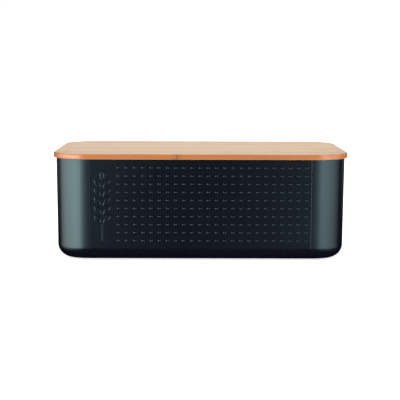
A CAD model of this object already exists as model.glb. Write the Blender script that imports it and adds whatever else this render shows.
import math

import bmesh
import bpy
from mathutils import Matrix, Vector


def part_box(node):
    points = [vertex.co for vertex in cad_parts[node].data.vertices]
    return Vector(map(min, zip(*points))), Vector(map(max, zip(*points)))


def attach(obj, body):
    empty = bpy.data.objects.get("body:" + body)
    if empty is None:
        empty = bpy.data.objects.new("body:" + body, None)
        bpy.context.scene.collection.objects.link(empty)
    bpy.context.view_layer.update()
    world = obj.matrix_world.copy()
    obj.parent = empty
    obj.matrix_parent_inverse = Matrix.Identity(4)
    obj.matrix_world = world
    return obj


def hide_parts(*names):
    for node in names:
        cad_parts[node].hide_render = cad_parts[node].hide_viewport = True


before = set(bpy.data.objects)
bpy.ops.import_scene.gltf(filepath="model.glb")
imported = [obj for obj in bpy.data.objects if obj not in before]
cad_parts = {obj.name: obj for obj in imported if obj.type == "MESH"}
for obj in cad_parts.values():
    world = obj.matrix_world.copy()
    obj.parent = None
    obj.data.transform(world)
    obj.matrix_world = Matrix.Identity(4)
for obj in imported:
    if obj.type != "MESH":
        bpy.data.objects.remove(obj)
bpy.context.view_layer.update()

# Bread bin: a moulded plastic tub with a sunk panel of raised domes on both long walls, four rubber
# feet, and a loose lid glued up from bamboo strips. Every piece is rebuilt as a fine mesh in the
# place of its CAD node. Lengths are metres; MM turns the small ones into millimetres.

MM = 0.001

# ---------------------------------------------------------------- sizes

shell_low, shell_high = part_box("bin_shell")
_, face_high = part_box("lid_face_strip_11")
under_low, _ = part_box("lid_under_strip_01")
_, under_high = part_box("lid_under_strip_10")
FOOT_NODES = [f"foot_{face}_{end}" for face in ("front", "back") for end in ("left", "right")]

LID_HALF_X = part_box("lid_face_strip_06")[1].x
LID_HALF_Y = face_high.y
LID_TOP = face_high.z
UNDER_HALF_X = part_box("lid_under_strip_05")[1].x
RIM = shell_high.z
BASE = shell_low.z
OVERHANG = LID_HALF_X - shell_high.x
WALL = 3 * MM
LEAN = math.radians(0.6)
LID_CORNER = 42 * MM
BASE_ROUND = 16 * MM
RIM_ROUND = 0.4 * MM

HALF_X = LID_HALF_X - OVERHANG
HALF_Y = LID_HALF_Y - OVERHANG
CORNER = LID_CORNER - OVERHANG
STRAIGHT_X = HALF_X - CORNER
STRAIGHT_Y = HALF_Y - CORNER
EASE_TURN = math.radians(10)
EASE_BEND = 2.5 * CORNER

PANEL_HALF = 135.5 * MM
PANEL_FOOT = 15.4 * MM
PANEL_SINK = 0.3 * MM
PANEL_EDGE = 0.36 * MM

DOT_PITCH = 10 * MM
DOT_COLUMNS = 24
DOT_ROWS = 10
DOT_RADIUS = 1.6 * MM
DOT_RISE = 0.5 * MM
DOT_BLEND = 0.25 * MM
DOT_BLEND_RISE = 0.03 * MM
DOT_FIELD_X = -105.5 * MM
DOT_FIELD_Z = 20.2 * MM
CELL_STEPS = 6
BELOW_FIELD = 18.6 * MM
ABOVE_FIELD = 123.2 * MM

EAR_X = -120 * MM
EAR_FOOT = 24 * MM
EAR_FIELD_X = -132.5 * MM
STEM_LENGTH = 22 * MM
STROKE = 2 * MM
STROKE_RISE = 0.5 * MM
GRAIN_LENGTH = 14.4 * MM
GRAIN_BREADTH = 6.4 * MM
GRAIN_PAIRS = 5
GRAIN_PITCH = 11 * MM
GRAIN_LEAN = math.radians(38)
GRAIN_OFFSET = 5.6 * MM

FOOT_GAP = 0.15 * MM
SOCKET_LEAD = 0.3 * MM
FRONT_KNUCKLE = -29 * MM
KNUCKLE_SPACING = 260 * MM
SEAM = 0.12 * MM
EDGE_ROUND = 1 * MM


# ---------------------------------------------------------------- mesh helpers


def add_object(name, mesh):
    obj = bpy.data.objects.new(name, mesh)
    bpy.context.scene.collection.objects.link(obj)
    return obj


def object_from_bmesh(name, bm):
    """Closes up a bmesh into an object with smooth shading and outward faces."""
    bmesh.ops.recalc_face_normals(bm, faces=bm.faces)
    mesh = bpy.data.meshes.new(name)
    bm.to_mesh(mesh)
    bm.free()
    mesh.shade_smooth()
    obj = add_object(name, mesh)
    weighted = obj.modifiers.new("weighted_normals", "WEIGHTED_NORMAL")
    weighted.keep_sharp = True
    return obj


def join_loops(bm, loop_a, loop_b, closed=True):
    """Quads between two rows of vertices of the same length."""
    count = len(loop_a) if closed else len(loop_a) - 1
    for i in range(count):
        j = (i + 1) % len(loop_a)
        corners = []
        for vertex in (loop_a[i], loop_a[j], loop_b[j], loop_b[i]):
            if vertex not in corners:
                corners.append(vertex)
        if len(corners) > 2:
            bm.faces.new(corners)


def loop_edges(bm, loop):
    """The edges round a closed loop of vertices, made where they are missing."""
    edges = []
    for a, b in zip(loop, loop[1:] + loop[:1]):
        edges.append(bm.edges.get((a, b)) or bm.edges.new((a, b)))
    return edges


def circle(bm, centre, radius, z, steps):
    """Vertices round a level circle, counter-clockwise as seen from above."""
    angles = [2 * math.pi * k / steps for k in range(steps)]
    places = [(centre.x + radius * math.cos(a), centre.y + radius * math.sin(a), z) for a in angles]
    return [bm.verts.new(place) for place in places]


def fill_with_holes(bm, outer, holes, normal):
    """A flat fill inside one loop and outside the others."""
    edges = loop_edges(bm, outer)
    for hole in holes:
        edges += loop_edges(bm, hole)
    bmesh.ops.triangle_fill(bm, use_beauty=True, use_dissolve=False, edges=edges, normal=normal)


def finish_piece(obj, body, slot, *nodes):
    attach(obj, body)
    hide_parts(*nodes)


# ---------------------------------------------------------------- the tub's section


class Section:
    """One skin of the tub in section: a wall that leans in, and a round into a flat floor."""

    def __init__(self, rim_inset, floor, radius):
        self.rim_inset = rim_inset
        self.floor = floor
        self.radius = radius
        self.centre_z = floor + radius
        self.centre_inset = self.wall(self.centre_z) + radius / math.cos(LEAN)
        self.tangent_z = self.centre_z - radius * math.sin(LEAN)

    def wall(self, z):
        return self.rim_inset + (RIM - z) * math.tan(LEAN)

    def inset(self, z):
        """How far the skin stands in from the rim's outer edge at a height."""
        if z >= self.tangent_z:
            return self.wall(z)
        drop = min(self.centre_z - z, self.radius)
        return self.centre_inset - math.sqrt(self.radius**2 - drop**2)

    def round_rows(self, steps, below):
        """Heights of the rows round the floor's edge, from the floor up to a height."""
        heights = [self.centre_z - self.radius * math.cos(math.pi / 2 * k / steps) for k in range(steps)]
        return [z for z in heights if z < below]


OUTSIDE = Section(0, BASE, BASE_ROUND)
INSIDE = Section(WALL, BASE + WALL, BASE_ROUND - WALL)

EDGE_STEPS = [-0.5, -0.25, 0, 0.25, 0.5]
FIELD_TOP = DOT_FIELD_Z + DOT_ROWS * DOT_PITCH
FIELD_END = DOT_FIELD_X + DOT_COLUMNS * DOT_PITCH


def span(start, end, count):
    """Evenly spaced values from start to end, both included."""
    return [start + (end - start) * k / count for k in range(count + 1)]


def ramp(distance):
    """0 outside the panel's edge, 1 inside it, with a smooth step between."""
    t = min(max(distance / PANEL_EDGE + 0.5, 0), 1)
    return t * t * (3 - 2 * t)


def sink(x, z):
    """Depth of the panel below the wall's face."""
    return PANEL_SINK * ramp(PANEL_HALF - abs(x)) * ramp(z - PANEL_FOOT)


def wall_columns():
    """X of the mesh columns along a long wall, from corner to corner."""
    left = [-PANEL_HALF + step * PANEL_EDGE for step in EDGE_STEPS]
    right = [PANEL_HALF + step * PANEL_EDGE for step in EDGE_STEPS]
    ear = span(EAR_FIELD_X, DOT_FIELD_X, 6)
    dots = span(DOT_FIELD_X, FIELD_END, DOT_COLUMNS * CELL_STEPS)
    return [*left, *ear, *dots[1:], *right]


def outer_rows():
    """Inset and height of the rows up the outside, from the base to the top of the rim."""
    foot = [PANEL_FOOT + step * PANEL_EDGE for step in EDGE_STEPS]
    clear = 0.3 * MM
    heights = OUTSIDE.round_rows(12, foot[0] - clear) + foot
    heights += [OUTSIDE.tangent_z, BELOW_FIELD]
    heights += span(DOT_FIELD_Z, FIELD_TOP, DOT_ROWS * CELL_STEPS)
    heights += [ABOVE_FIELD]
    rows = [(OUTSIDE.inset(z), z) for z in heights]
    start = RIM - RIM_ROUND
    for k in range(4):
        turn = math.pi / 2 * k / 3
        out = OUTSIDE.wall(start) + RIM_ROUND * (1 - math.cos(turn))
        rows.append((out, start + RIM_ROUND * math.sin(turn)))
    return rows


def inner_rows():
    """The same down the inside, from the top of the rim to the floor."""
    rows = []
    start = RIM - RIM_ROUND
    for k in range(4):
        turn = math.pi / 2 * (1 - k / 3)
        inset = INSIDE.wall(start) - RIM_ROUND * (1 - math.cos(turn))
        rows.append((inset, start + RIM_ROUND * math.sin(turn)))
    wall = [INSIDE.tangent_z, 40 * MM, 70 * MM, 100 * MM]
    heights = INSIDE.round_rows(10, INSIDE.tangent_z) + wall
    rows += [(INSIDE.inset(z), z) for z in reversed(heights)]
    return rows


class Column:
    """A vertical line of the tub's mesh: a point of the corner-centre outline and its outward way."""

    def __init__(self, x, y, angle, wall_x=None):
        self.base = Vector((x, y))
        self.out = Vector((math.cos(angle), math.sin(angle)))
        self.wall_x = wall_x

    def place(self, inset, z, sinks):
        if sinks and self.wall_x is not None:
            inset += sink(self.wall_x, z)
        x, y = self.base + (CORNER - inset) * self.out
        return Vector((x, y, z))

    def turned(self):
        """The same column half a turn round the bin."""
        other = Column(-self.base.x, -self.base.y, 0, self.wall_x)
        other.out = -self.out
        return other

    def mirrored(self):
        """The same column on the other side of the middle, from front to back."""
        other = Column(self.base.x, -self.base.y, 0)
        other.out = Vector((self.out.x, -self.out.y))
        return other


def bend_shift(turn):
    """How far back a bend's centre is along the wall and into it, at an angle from the bend's
    start. A bend starts wide and tightens to the plain corner over EASE_TURN."""
    share = min(turn / EASE_TURN, 1)
    along = EASE_BEND * EASE_TURN * (1 - share) ** 3 / 3
    into = share**2 / 2 - 2 * share**3 / 3 + share**4 / 4
    return along, EASE_BEND * EASE_TURN**2 * into


def corner_columns():
    """Columns round the front right corner, from the front wall to the end wall, closest together
    where the bend tightens. The turns are in degrees."""
    eased = [1.5, 3, 4.5, 6, 8, 10]
    turns = eased + list(range(15, 80, 5)) + [90 - turn for turn in reversed(eased)]
    columns = []
    for turn in map(math.radians, turns):
        near, far = bend_shift(turn), bend_shift(math.pi / 2 - turn)
        x = STRAIGHT_X - near[0] - far[1]
        y = STRAIGHT_Y - far[0] - near[1]
        columns.append(Column(x, -y, turn - math.pi / 2))
    return columns


def half_columns():
    """Columns along the front wall, the right end and the two right corners."""
    front = [Column(x, -STRAIGHT_Y, -math.pi / 2, x) for x in wall_columns()]
    corner = corner_columns()
    gap = 4 * MM
    end = -corner[-1].base.y - gap
    side = [Column(STRAIGHT_X, y, 0) for y in span(-end, end, 10)]
    return front + corner + side + [column.mirrored() for column in reversed(corner)]


# ---------------------------------------------------------------- the tub


class TubMesh:
    """The tub's mesh: a grid of rows and columns, with finer patches let into both long walls."""

    def __init__(self):
        self.bm = bmesh.new()
        half = half_columns()
        self.half_count = len(half)
        self.columns = half + [column.turned() for column in half]
        outer, inner = outer_rows(), inner_rows()
        self.rows = [(*row, True) for row in outer] + [(*row, False) for row in inner]
        self.grid = {}
        self.xs = wall_columns()
        self.zs = [z for _, z in outer]

    def vertex(self, column, row):
        key = (column % len(self.columns), row)
        if key not in self.grid:
            self.grid[key] = self.bm.verts.new(self.columns[key[0]].place(*self.rows[row]))
        return self.grid[key]

    def ring(self, row):
        return [self.vertex(column, row) for column in range(len(self.columns))]

    def patch(self, x0, x1, z0, z1):
        """Column and row numbers of a rectangle on the wall."""
        columns = [min(range(len(self.xs)), key=lambda i: abs(self.xs[i] - x)) for x in (x0, x1)]
        rows = [min(range(len(self.zs)), key=lambda i: abs(self.zs[i] - z)) for z in (z0, z1)]
        return (*columns, *rows)

    def border(self, patch, back):
        """Vertices round a patch, counter-clockwise as seen from outside, from its lower left."""
        c0, c1, r0, r1 = patch
        shift = self.half_count if back else 0
        keys = [(c, r0) for c in range(c0, c1)] + [(c1, r) for r in range(r0, r1)]
        keys += [(c, r1) for c in range(c1, c0, -1)] + [(c0, r) for r in range(r1, r0, -1)]
        return [self.vertex(c + shift, r) for c, r in keys]

    def skin(self):
        """All the quads of the grid, apart from the patches on the long walls."""
        field = self.patch(EAR_FIELD_X, FIELD_END, DOT_FIELD_Z, FIELD_TOP)
        for row in range(len(self.rows) - 1):
            for column in range(len(self.columns)):
                c = column % self.half_count
                if field[0] <= c < field[1] and field[2] <= row < field[3]:
                    continue
                low = (self.vertex(column, row), self.vertex(column + 1, row))
                high = (self.vertex(column + 1, row + 1), self.vertex(column, row + 1))
                self.bm.faces.new((*low, *high))


def panel_point(x, z, rise, back):
    """A point of the panel, raised along its normal."""
    y = -(HALF_Y - OUTSIDE.inset(z) - sink(x, z))
    point = Vector((x, y, z)) + rise * Vector((0, -math.cos(LEAN), -math.sin(LEAN)))
    if back:
        point.x, point.y = -point.x, -point.y
    return point


def add_dome(tub, patch, back):
    """A dome in the middle of its square cell: a ball's cap with a soft fillet round its foot."""
    x = DOT_FIELD_X + (patch[0] + 0.5) * DOT_PITCH
    z = DOT_FIELD_Z + (patch[1] + 0.5) * DOT_PITCH
    cell = tub.patch(x - DOT_PITCH / 2, x + DOT_PITCH / 2, z - DOT_PITCH / 2, z + DOT_PITCH / 2)
    loop = tub.border(cell, back)
    ball = (DOT_RADIUS**2 + DOT_RISE**2) / (2 * DOT_RISE)
    foot = [(DOT_RADIUS + 0.9 * DOT_BLEND, 0), (DOT_RADIUS + 0.2 * DOT_BLEND, DOT_BLEND_RISE)]
    radii = [share * DOT_RADIUS for share in (0.93, 0.77, 0.55, 0.3)]
    cap = [(radius, math.sqrt(ball**2 - radius**2) - (ball - DOT_RISE)) for radius in radii]
    for radius, rise in foot + cap:
        ring = []
        for k in range(len(loop)):
            angle = math.pi * (2 * k / len(loop) - 0.75)
            at = (x + radius * math.cos(angle), z + radius * math.sin(angle))
            ring.append(tub.bm.verts.new(panel_point(*at, rise, back)))
        join_loops(tub.bm, loop, ring)
        loop = ring
    top = tub.bm.verts.new(panel_point(x, z, DOT_RISE, back))
    for k in range(len(loop)):
        tub.bm.faces.new((loop[k], loop[(k + 1) % len(loop)], top))


def rib_height(share):
    """Height of a raised line across its width, from one edge (0) to the other (1)."""
    fullness = 3
    return STROKE_RISE * (1 - abs(2 * share - 1) ** fullness) ** (1 / fullness)


def add_rib(tub, outer, inner, shares, back):
    """A raised line between two closed outlines in the panel's plane. Returns its edge loops."""
    loops = []
    made = {}
    for share in shares:
        loop = []
        for a, b in zip(outer, inner):
            at = a.lerp(b, share)
            key = (round(at.x, 7), round(at.y, 7), round(share, 3))
            if key not in made:
                made[key] = tub.bm.verts.new(panel_point(at.x, at.y, rib_height(share), back))
            loop.append(made[key])
        loops.append(loop)
    for low, high in zip(loops, loops[1:]):
        join_loops(tub.bm, low, high)
    for edge in loop_edges(tub.bm, loops[0]):
        edge.smooth = False
    return loops[0], loops[-1]


def grain_outlines(centre, lean):
    """The pointed outline of a grain and the one a stroke inside it, point for point."""
    half_length, half_breadth = GRAIN_LENGTH / 2, GRAIN_BREADTH / 2
    bow = (half_length**2 + half_breadth**2) / (2 * half_breadth)
    turn = Matrix.Rotation(-lean, 2)
    steps = 14
    outlines = []
    for radius in (bow, bow - STROKE):
        reach = math.acos((bow - half_breadth) / radius)
        points = []
        for side in (1, -1):
            for k in range(steps):
                angle = reach * (2 * k / steps - 1)
                x = side * (radius * math.cos(angle) - (bow - half_breadth))
                points.append(centre + turn @ Vector((x, side * radius * math.sin(angle))))
        outlines.append(points)
    return outlines


def stem_outlines(foot, top):
    """The stem's round-ended outline and its middle line, point for point."""
    half = STROKE / 2
    steps = 6
    outline, middle = [], []
    for end, start in ((top - half, 0), (foot + half, math.pi)):
        for k in range(steps + 1):
            angle = start + math.pi * k / steps
            outline.append(Vector((EAR_X + half * math.cos(angle), end + half * math.sin(angle))))
            middle.append(Vector((EAR_X, end)))
    return outline, middle


def add_ear(tub, back):
    """The ear of wheat in raised line, with the flat of the panel filled in round it."""
    across = [(1 - math.cos(math.pi * k / 8)) / 2 for k in range(9)]
    half_height = GRAIN_LENGTH / 2 * math.cos(GRAIN_LEAN)
    first = EAR_FOOT + STEM_LENGTH + half_height
    last = first + GRAIN_PITCH * (GRAIN_PAIRS - 1)
    grains = [(Vector((EAR_X, last + half_height / 2 + GRAIN_LENGTH / 2)), 0)]
    for pair in range(GRAIN_PAIRS):
        for way in (-1, 1):
            centre = Vector((EAR_X + way * GRAIN_OFFSET, first + pair * GRAIN_PITCH))
            grains.append((centre, way * GRAIN_LEAN))
    holes = []
    for centre, lean in grains:
        edge, middle = add_rib(tub, *grain_outlines(centre, lean), across, back)
        for line in loop_edges(tub.bm, middle):
            line.smooth = False
        tub.bm.faces.new(middle)
        holes.append(edge)
    edge, top = add_rib(tub, *stem_outlines(EAR_FOOT, EAR_FOOT + STEM_LENGTH), across[:5], back)
    tub.bm.faces.new(top)
    holes.append(edge)
    field = tub.patch(EAR_FIELD_X, DOT_FIELD_X, DOT_FIELD_Z, FIELD_TOP)
    normal = Vector((0, 1 if back else -1, 0))
    fill_with_holes(tub.bm, tub.border(field, back), holes, normal)


def add_base(tub):
    """The flat underside with a round socket for each foot."""
    holes = []
    for node in FOOT_NODES:
        low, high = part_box(node)
        centre = (low + high) / 2
        radius = (high.x - low.x) / 2 + FOOT_GAP
        levels = ((radius + SOCKET_LEAD, BASE), (radius, BASE + SOCKET_LEAD), (radius, high.z))
        loops = [circle(tub.bm, centre, reach, z, 40) for reach, z in levels]
        for low_loop, high_loop in zip(loops, loops[1:]):
            join_loops(tub.bm, low_loop, high_loop)
        tub.bm.faces.new(loops[-1])
        holes.append(loops[0])
    fill_with_holes(tub.bm, tub.ring(0), holes, Vector((0, 0, -1)))


def make_tub(material):
    tub = TubMesh()
    tub.skin()
    for back in (False, True):
        for column in range(DOT_COLUMNS):
            for row in range(DOT_ROWS):
                add_dome(tub, (column, row), back)
        add_ear(tub, back)
    add_base(tub)
    tub.bm.faces.new(tub.ring(len(tub.rows) - 1))
    obj = object_from_bmesh("tub_moulding", tub.bm)
    obj.data.materials.append(material)
    finish_piece(obj, "bin", "tub_plastic", "bin_shell")


# ---------------------------------------------------------------- the feet


def make_foot(node, material):
    """A rubber pad turned about its axis: a dished sole, a rounded edge and a plain seat."""
    low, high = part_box(node)
    centre = (low + high) / 2
    radius = (high.x - low.x) / 2
    edge = 0.5 * MM
    dish = 0.4 * MM
    chamfer = 0.2 * MM
    profile = [(radius * 0.62, dish), (radius * 0.7, dish * 0.6), (radius * 0.76, 0)]
    for k in range(5):
        turn = math.pi / 2 * k / 4
        profile.append((radius - edge * (1 - math.sin(turn)), edge * (1 - math.cos(turn))))
    profile += [(radius, high.z - chamfer), (radius - chamfer, high.z)]
    bm = bmesh.new()
    loops = [circle(bm, centre, reach, low.z + z, 48) for reach, z in profile]
    for a, b in zip(loops, loops[1:]):
        join_loops(bm, a, b)
    bm.faces.new(loops[0])
    bm.faces.new(loops[-1])
    obj = object_from_bmesh(node.replace("foot_", "rubber_foot_"), bm)
    obj.data.materials.append(material)
    finish_piece(obj, "bin", "foot_rubber", node)


# ---------------------------------------------------------------- the lid


class Board:
    """One ply of the lid: a rounded rectangle in plan, with a section for its outer edge."""

    def __init__(self, half_x, half_y, corner, bottom, top, round_top):
        self.half_x = half_x
        self.half_y = half_y
        self.corner = corner
        self.straight_x = half_x - corner
        self.straight_y = half_y - corner
        self.bottom = bottom
        self.top = top
        self.section = self.edge_section(round_top)

    def edge_section(self, round_top):
        """Inset and height of the points up the outer edge."""
        steps = 5
        turns = [math.pi / 2 * k / steps for k in range(steps + 1)]
        low = [(EDGE_ROUND * (1 - math.sin(t)), self.bottom + EDGE_ROUND * (1 - math.cos(t))) for t in turns]
        if not round_top:
            return [*low, (0, self.top)]
        high = [(inset, self.bottom + self.top - z) for inset, z in reversed(low)]
        return low + high

    def at_y(self, y, groove=0):
        """The edge's section where it crosses a line along X, set back into a seam by the groove."""
        points = []
        for inset, z in self.section:
            inset = max(inset, groove)
            z = min(max(z, self.bottom + groove), self.top - groove)
            reach = max(abs(y) - self.straight_y, 0)
            x = self.straight_x + math.sqrt((self.corner - inset) ** 2 - reach**2)
            points.append(Vector((x, y, z)))
        return points

    def at_angle(self, angle, end):
        """The edge's section at an angle round a corner, measured from the X axis."""
        points = []
        for inset, z in self.section:
            radius = self.corner - inset
            y = end * (self.straight_y + radius * math.sin(angle))
            points.append(Vector((self.straight_x + radius * math.cos(angle), y, z)))
        return points

    def edge_stations(self, front, back):
        """Sections along the +X edge of a strip between two seams, from front to back."""
        steps = 24
        stations = []
        if front > -self.half_y:
            stations += [self.at_y(front, SEAM), self.at_y(front + SEAM)]
        for end in (-1, 1):
            corner = []
            for k in range(steps + 1):
                angle = math.pi / 2 * k / steps
                y = end * (self.straight_y + self.corner * math.sin(angle))
                if front + 2 * SEAM < y < back - 2 * SEAM or abs(y) >= self.half_y:
                    if front <= y <= back:
                        corner.append(self.at_angle(angle, end))
            stations += reversed(corner) if end < 0 else corner
        if back < self.half_y:
            stations += [self.at_y(back - SEAM), self.at_y(back, SEAM)]
        return stations


def make_strip(name, board, front, back, material, tone, shift, knuckle):
    """One bamboo strip of a ply, between two seams or between a seam and the ply's outer edge."""
    bm = bmesh.new()
    right = [[bm.verts.new(p) for p in section] for section in board.edge_stations(front, back)]
    left = [[bm.verts.new((-v.co.x, v.co.y, v.co.z)) for v in section] for section in right]
    for edge in (right, left):
        for a, b in zip(edge, edge[1:]):
            join_loops(bm, a, b, closed=False)
    first = 0
    last = len(right) - 1
    for outer, end, inside in ((front <= -board.half_y, first, 1), (back >= board.half_y, last, -1)):
        if outer:
            join_loops(bm, right[end], left[end], closed=False)
            continue
        bm.faces.new(right[end] + left[end][::-1])
        for level in (0, -1):
            near, far = end, end + inside
            bm.faces.new((right[near][level], right[far][level], left[far][level], left[near][level]))
    start = 0 if front <= -board.half_y else 1
    stop = len(right) if back >= board.half_y else len(right) - 1
    for level in (0, -1):
        flat = [section[level] for section in right[start:stop]]
        flat += [section[level] for section in reversed(left[start:stop])]
        bm.faces.new(flat)
    obj = object_from_bmesh(name, bm)
    for attribute, value in (("tone", tone), ("shift", shift), ("knuckle", knuckle)):
        layer = obj.data.attributes.new(attribute, "FLOAT", "POINT")
        layer.data.foreach_set("value", [value] * len(obj.data.vertices))
    obj.data.materials.append(material)
    return obj


def make_ply(label, board, count, material):
    """All the strips of a ply, each with its own tone, grain and place of its knuckles."""
    breadth = 2 * board.half_y
    for number in range(count):
        front = breadth * (number / count - 0.5)
        back = breadth * ((number + 1) / count - 0.5)
        if number == 0:
            front = -board.half_y
        if number == count - 1:
            back = board.half_y
        golden = 0.618034
        tone = (number * golden + 0.35) % 1
        shift = 0.37 * number
        knuckle = FRONT_KNUCKLE + KNUCKLE_SPACING * ((number * 2 * golden) % 1)
        name = f"bamboo_{label}_{number + 1:02d}"
        strip = make_strip(name, board, front, back, material, tone, shift, knuckle)
        finish_piece(strip, "lid", "bamboo", f"lid_{label}_strip_{number + 1:02d}")


# ---------------------------------------------------------------- materials


class Nodes:
    """The node tree of a material or a light, with short ways to add and join its nodes."""

    def __init__(self, owner):
        self.owner = owner
        owner.use_nodes = True
        self.tree = owner.node_tree
        self.shader = next(n for n in self.tree.nodes if n.type in ("BSDF_PRINCIPLED", "EMISSION"))

    def add(self, kind, settings=None, **inputs):
        node = self.tree.nodes.new(kind)
        for key, value in (settings or {}).items():
            setattr(node, key, value)
        for key, value in inputs.items():
            self.feed(node, key.replace("_", " "), value)
        return node

    def feed(self, node, socket, value):
        target = node.inputs[int(socket)] if socket.isdigit() else node.inputs[socket]
        if isinstance(value, bpy.types.NodeSocket):
            self.tree.links.new(value, target)
        else:
            target.default_value = value

    def math(self, operation, a, b=0.0, clamp=False):
        node = self.tree.nodes.new("ShaderNodeMath")
        node.operation = operation
        node.use_clamp = clamp
        self.feed(node, "0", a)
        self.feed(node, "1", b)
        return node.outputs[0]

    def noise(self, vector, scale, detail=2.0, roughness=0.5):
        node = self.add(
            "ShaderNodeTexNoise", None, Vector=vector, Scale=scale, Detail=detail, Roughness=roughness
        )
        return node.outputs["Fac"]

    def mapped(self, vector, scale):
        return self.add("ShaderNodeMapping", None, Vector=vector, Scale=scale).outputs[0]

    def spread(self, value, low, high, to_low=0.0, to_high=1.0):
        """Maps low..high to to_low..to_high, held at the ends."""
        node = self.tree.nodes.new("ShaderNodeMapRange")
        for index, number in enumerate((value, low, high, to_low, to_high)):
            self.feed(node, str(index), number)
        return node.outputs[0]

    def ease(self, value, low, high):
        """0 to 1 over low..high, starting and ending gently."""
        node = self.tree.nodes.new("ShaderNodeMapRange")
        node.interpolation_type = "SMOOTHSTEP"
        for index, number in enumerate((value, low, high)):
            self.feed(node, str(index), number)
        return node.outputs[0]

    def mix(self, share, a, b):
        node = self.tree.nodes.new("ShaderNodeMix")
        node.data_type = "RGBA"
        self.feed(node, "0", share)
        self.feed(node, "6", a)
        self.feed(node, "7", b)
        return node.outputs[2]

    def attribute(self, name):
        return self.add("ShaderNodeAttribute", {"attribute_name": name}).outputs["Fac"]

    def set(self, **inputs):
        for key, value in inputs.items():
            self.feed(self.shader, key.replace("_", " "), value)

    def bump(self, height, depth, strength):
        node = self.add("ShaderNodeBump", None, Height=height, Distance=depth, Strength=strength)
        return node.outputs[0]


def rgba(red, green, blue):
    return (red, green, blue, 1.0)


# Colours are linear. Noise values lie mostly between 0.3 and 0.7.
PLASTIC_DARK = rgba(0.0020, 0.0018, 0.0066)
PLASTIC_LIGHT = rgba(0.0028, 0.0026, 0.0084)
PLASTIC_SPECK = rgba(0.0046, 0.0044, 0.0120)
PLASTIC_SHINE = rgba(0.66, 1.0, 1.0)
PLASTIC_GRAIN = 0.06 * MM

BAMBOO_LIGHT = rgba(0.76, 0.400, 0.145)
BAMBOO_DARK = rgba(0.60, 0.255, 0.085)
BAMBOO_SIDE = rgba(0.52, 0.124, 0.007)
BAMBOO_STREAK = rgba(0.40, 0.125, 0.035)
BAMBOO_FIBRE = rgba(0.36, 0.115, 0.034)
BAMBOO_PORE = rgba(0.30, 0.10, 0.03)
BAMBOO_GRAIN = 0.12 * MM
KNUCKLE_HALO = rgba(0.42, 0.13, 0.03)
KNUCKLE_SECOND = rgba(0.36, 0.11, 0.03)
KNUCKLE_LINE = rgba(0.26, 0.070, 0.018)
KNUCKLE_WAVE = 2.8 * MM
SECOND_AWAY = 4.2 * MM

RUBBER_DARK = rgba(0.012, 0.012, 0.013)
RUBBER_DUST = rgba(0.035, 0.034, 0.033)
RUBBER_PEBBLE = 0.1 * MM

PAPER_DARK = rgba(0.93, 0.93, 0.93)
PAPER_LIGHT = rgba(0.95, 0.95, 0.95)
PAPER_GLOW = 0.75
ROOM_LIGHT = 1.02


def plastic_material():
    """Dark blue satin plastic: a fine moulded texture, slight flow and handling marks."""
    nodes = Nodes(bpy.data.materials.new("satin_plastic"))
    place = nodes.add("ShaderNodeTexCoord").outputs["Object"]
    flow = nodes.noise(nodes.mapped(place, (6, 6, 14)), 1.0, 3.0)
    grain = nodes.noise(place, 1800.0, 3.0, 0.6)
    speck = nodes.noise(place, 420.0, 2.0)
    colour = nodes.mix(nodes.spread(flow, 0.35, 0.65), PLASTIC_DARK, PLASTIC_LIGHT)
    colour = nodes.mix(nodes.spread(speck, 0.3, 0.7, 0.0, 0.35), colour, PLASTIC_SPECK)
    smooth = nodes.spread(flow, 0.3, 0.7, 0.25, 0.28)
    rough = nodes.math("ADD", smooth, nodes.spread(grain, 0.3, 0.7, 0.0, 0.03))
    nodes.set(Base_Color=colour, Roughness=rough, IOR=1.5, Specular_Tint=PLASTIC_SHINE)
    nodes.set(Normal=nodes.bump(grain, PLASTIC_GRAIN, 0.25))
    return nodes.owner


def knuckle_marks(nodes, x, along):
    """How strongly three marks of a knuckle show: its wavy line across the strip, a fainter second
    line beside it and a wide halo. A strip's knuckles repeat from its own starting place."""
    wave = nodes.noise(nodes.mapped(along, (0, 160, 160)), 1.0, 2.0)
    start = nodes.math("SUBTRACT", x, nodes.attribute("knuckle"))
    offset = nodes.math("ADD", start, nodes.spread(wave, 0.3, 0.7, -KNUCKLE_WAVE, KNUCKLE_WAVE))
    away = nodes.math("PINGPONG", offset, KNUCKLE_SPACING / 2)
    beside = nodes.math("ABSOLUTE", nodes.math("SUBTRACT", away, SECOND_AWAY))
    line = nodes.spread(away, 0.3 * MM, 1.6 * MM, 1.0, 0.0)
    second = nodes.spread(beside, 0.2 * MM, 1.2 * MM, 1.0, 0.0)
    halo = nodes.spread(away, 1.5 * MM, 11 * MM, 1.0, 0.0)
    return line, second, halo


def sidewardness(nodes):
    """0 on level faces, 1 on upright ones."""
    normal = nodes.add("ShaderNodeNewGeometry").outputs["Normal"]
    upward = nodes.add("ShaderNodeSeparateXYZ", None, Vector=normal).outputs[2]
    return nodes.math("SUBTRACT", 1.0, nodes.math("ABSOLUTE", upward))


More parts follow.
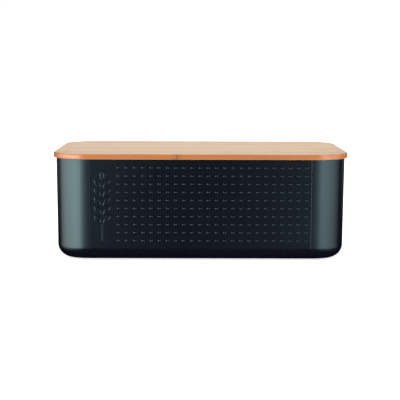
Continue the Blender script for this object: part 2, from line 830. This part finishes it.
def bamboo_material():
    """Oiled bamboo: fibres along the strip, a tone for each strip, redder upright faces, and
    knuckles across the strip."""
    nodes = Nodes(bpy.data.materials.new("oiled_bamboo"))
    place = nodes.add("ShaderNodeTexCoord").outputs["Object"]
    moved = nodes.add("ShaderNodeVectorMath", {"operation": "ADD"})
    nodes.feed(moved, "0", place)
    nodes.feed(moved, "1", nodes.attribute("shift"))
    along = moved.outputs[0]
    streak = nodes.noise(nodes.mapped(along, (9, 420, 420)), 1.0, 4.0, 0.6)
    fibre = nodes.noise(nodes.mapped(along, (40, 2200, 2200)), 1.0, 2.0, 0.5)
    pore = nodes.noise(nodes.mapped(along, (120, 3200, 3200)), 1.0, 1.0)
    broad = nodes.noise(nodes.mapped(along, (7, 40, 40)), 1.0, 2.0)
    x = nodes.add("ShaderNodeSeparateXYZ", None, Vector=place).outputs[0]
    line, second, halo = knuckle_marks(nodes, x, along)
    side = sidewardness(nodes)

    tone = nodes.math("ADD", nodes.attribute("tone"), nodes.spread(broad, 0.3, 0.7, -0.3, 0.3), True)
    colour = nodes.mix(tone, BAMBOO_LIGHT, BAMBOO_DARK)
    colour = nodes.mix(nodes.math("MULTIPLY", side, 0.85), colour, BAMBOO_SIDE)
    colour = nodes.mix(nodes.spread(streak, 0.42, 0.68, 0.0, 0.5), colour, BAMBOO_STREAK)
    colour = nodes.mix(nodes.spread(fibre, 0.45, 0.75, 0.0, 0.35), colour, BAMBOO_FIBRE)
    colour = nodes.mix(nodes.spread(pore, 0.6, 0.8, 0.0, 0.2), colour, BAMBOO_PORE)
    halo_share = nodes.math("MULTIPLY", halo, nodes.spread(side, 0.0, 1.0, 0.15, 0.7))
    colour = nodes.mix(halo_share, colour, KNUCKLE_HALO)
    colour = nodes.mix(nodes.math("MULTIPLY", second, 0.2), colour, KNUCKLE_SECOND)
    line_share = nodes.math("MULTIPLY", line, nodes.spread(side, 0.0, 1.0, 0.3, 0.8))
    colour = nodes.mix(line_share, colour, KNUCKLE_LINE)
    nodes.set(Base_Color=colour, Roughness=nodes.spread(streak, 0.3, 0.7, 0.28, 0.36), IOR=1.66)
    relief = nodes.math("SUBTRACT", nodes.math("ADD", nodes.math("MULTIPLY", streak, 0.5), fibre), line)
    nodes.set(Normal=nodes.bump(relief, BAMBOO_GRAIN, 0.35))
    return nodes.owner


def rubber_material():
    """Black rubber with a dusty, pebbled face."""
    nodes = Nodes(bpy.data.materials.new("black_rubber"))
    place = nodes.add("ShaderNodeTexCoord").outputs["Object"]
    pebble = nodes.noise(place, 1500.0, 2.0)
    dust = nodes.noise(place, 160.0, 3.0)
    colour = nodes.mix(nodes.spread(dust, 0.4, 0.7), RUBBER_DARK, RUBBER_DUST)
    nodes.set(Base_Color=colour, Roughness=nodes.spread(dust, 0.3, 0.7, 0.65, 0.85))
    nodes.set(Normal=nodes.bump(pebble, RUBBER_PEBBLE, 0.4))
    return nodes.owner


def floor_material():
    """White paper that glows a little, so that it stays white round the bin's shadow."""
    nodes = Nodes(bpy.data.materials.new("white_paper"))
    place = nodes.add("ShaderNodeTexCoord").outputs["Object"]
    tooth = nodes.noise(place, 90.0, 3.0)
    colour = nodes.mix(nodes.spread(tooth, 0.3, 0.7), PAPER_DARK, PAPER_LIGHT)
    nodes.set(Base_Color=colour, Roughness=0.9, Specular_IOR_Level=0.0)
    nodes.set(Emission_Color=rgba(1.0, 1.0, 1.0), Emission_Strength=PAPER_GLOW)
    return nodes.owner


# ---------------------------------------------------------------- the stage


def make_floor():
    """A sheet of white paper, far larger than the view, which isn't mirrored in the plastic."""
    bm = bmesh.new()
    reach = 6.0
    corners = [(-reach, -reach, 0), (reach, -reach, 0), (reach, reach, 0), (-reach, reach, 0)]
    bm.faces.new([bm.verts.new(corner) for corner in corners])
    mesh = bpy.data.meshes.new("floor")
    bm.to_mesh(mesh)
    bm.free()
    floor = add_object("floor", mesh)
    floor.data.materials.append(floor_material())
    floor.visible_glossy = False


def make_world():
    """Even white light all round, which the glossy surfaces don't mirror."""
    world = bpy.data.worlds.new("studio")
    bpy.context.scene.world = world
    world.use_nodes = True
    background = next(n for n in world.node_tree.nodes if n.type == "BACKGROUND")
    background.inputs["Color"].default_value = (1.0, 1.0, 1.0, 1.0)
    background.inputs["Strength"].default_value = ROOM_LIGHT
    world.cycles_visibility.glossy = False


def make_softbox(name, directions, heights, radiance, fades, colour=(1, 1, 1), distance=1.3):
    """A softbox that fills the view from the bin between two directions, in degrees round from the
    front (-Y) and positive towards +X, and between two heights. It fades towards its start, end,
    foot and top, each over a share of its size. Only glossy surfaces see it."""
    middle = math.radians(sum(directions) / 2)
    half_angle = math.radians((directions[1] - directions[0]) / 2)
    light = bpy.data.lights.new(name, "AREA")
    light.shape = "RECTANGLE"
    light.size = 2 * distance * math.tan(half_angle)
    light.size_y = heights[1] - heights[0]
    light.color = colour
    light.energy = radiance * math.pi * light.size * light.size_y
    nodes = Nodes(light)
    face = nodes.add("ShaderNodeNewGeometry").outputs["Parametric"]
    place = nodes.add("ShaderNodeSeparateXYZ", None, Vector=face).outputs
    start, end, foot, top = fades
    across = nodes.math("MULTIPLY", nodes.ease(place[0], 0.0, start), nodes.ease(place[0], 1.0, 1.0 - end))
    upright = nodes.math("MULTIPLY", nodes.ease(place[1], 0.0, foot), nodes.ease(place[1], 1.0, 1.0 - top))
    nodes.set(Strength=nodes.math("MULTIPLY", across, upright))
    obj = add_object(name, light)
    corner = Vector((math.copysign(HALF_X, middle), -math.copysign(HALF_Y, math.cos(middle)), 0))
    away = Vector((math.sin(middle), -math.cos(middle), 0))
    obj.location = corner + distance * away + Vector((0, 0, sum(heights) / 2))
    obj.rotation_euler = away.to_track_quat("Z", "Y").to_euler()
    obj.visible_camera = False
    obj.visible_diffuse = False
    return obj


def make_lights():
    """A strong softbox to the left of the camera and a weaker one to its right, two faint ones
    further round the back, and a bright backdrop that the lid's top mirrors."""
    front = (-1.0, 0.25)
    make_softbox("softbox_left", (-125, -6), front, 10.0, (0.77, 0.36, 0.92, 0.1))
    make_softbox("softbox_right", (5, 113), front, 5.2, (0.32, 0.82, 0.92, 0.1), (0.98, 1.0, 1.08))
    back = (-0.2, 0.6)
    even = (0.3, 0.3, 0.3, 0.3)
    cool = (0.8, 1, 1.1)
    make_softbox("softbox_left_back", (-155, -125), back, 0.3, even, cool)
    make_softbox("softbox_right_back", (115, 155), back, 0.3, even, cool)
    warm = (1, 0.98, 0.86)
    glow = make_softbox("backdrop_glow", (164, 196), (0.26, 1.4), 1.6, (0.1, 0.1, 0.12, 0.12), warm, 2.0)
    glow.location.x = 0


def make_camera():
    """A long lens a little above the lid, as a catalogue picture is taken."""
    place = Matrix.Translation((-0.0093, -1.532, 0.2502))
    pitch = math.radians(6.985)
    yaw = math.radians(0.344)
    roll = math.radians(0.20)
    camera = bpy.data.cameras.new("camera")
    camera.lens = 105.6
    camera.sensor_width = 36
    camera.clip_end = 50
    obj = add_object("camera", camera)
    turn = Matrix.Rotation(-yaw, 4, "Z") @ Matrix.Rotation(math.pi / 2 - pitch, 4, "X")
    obj.matrix_world = place @ turn @ Matrix.Rotation(roll, 4, "Z")
    bpy.context.scene.camera = obj


def make_object():
    bamboo = bamboo_material()
    make_tub(plastic_material())
    rubber = rubber_material()
    for node in FOOT_NODES:
        make_foot(node, rubber)
    face = Board(LID_HALF_X, LID_HALF_Y, LID_CORNER, RIM, LID_TOP, True)
    under_corner = LID_CORNER - (LID_HALF_X - UNDER_HALF_X)
    under = Board(UNDER_HALF_X, under_high.y, under_corner, under_low.z, RIM, False)
    make_ply("face", face, 11, bamboo)
    make_ply("under", under, 10, bamboo)


make_object()
make_floor()
make_world()
make_lights()
make_camera()
bpy.context.scene.view_settings.view_transform = "Standard"
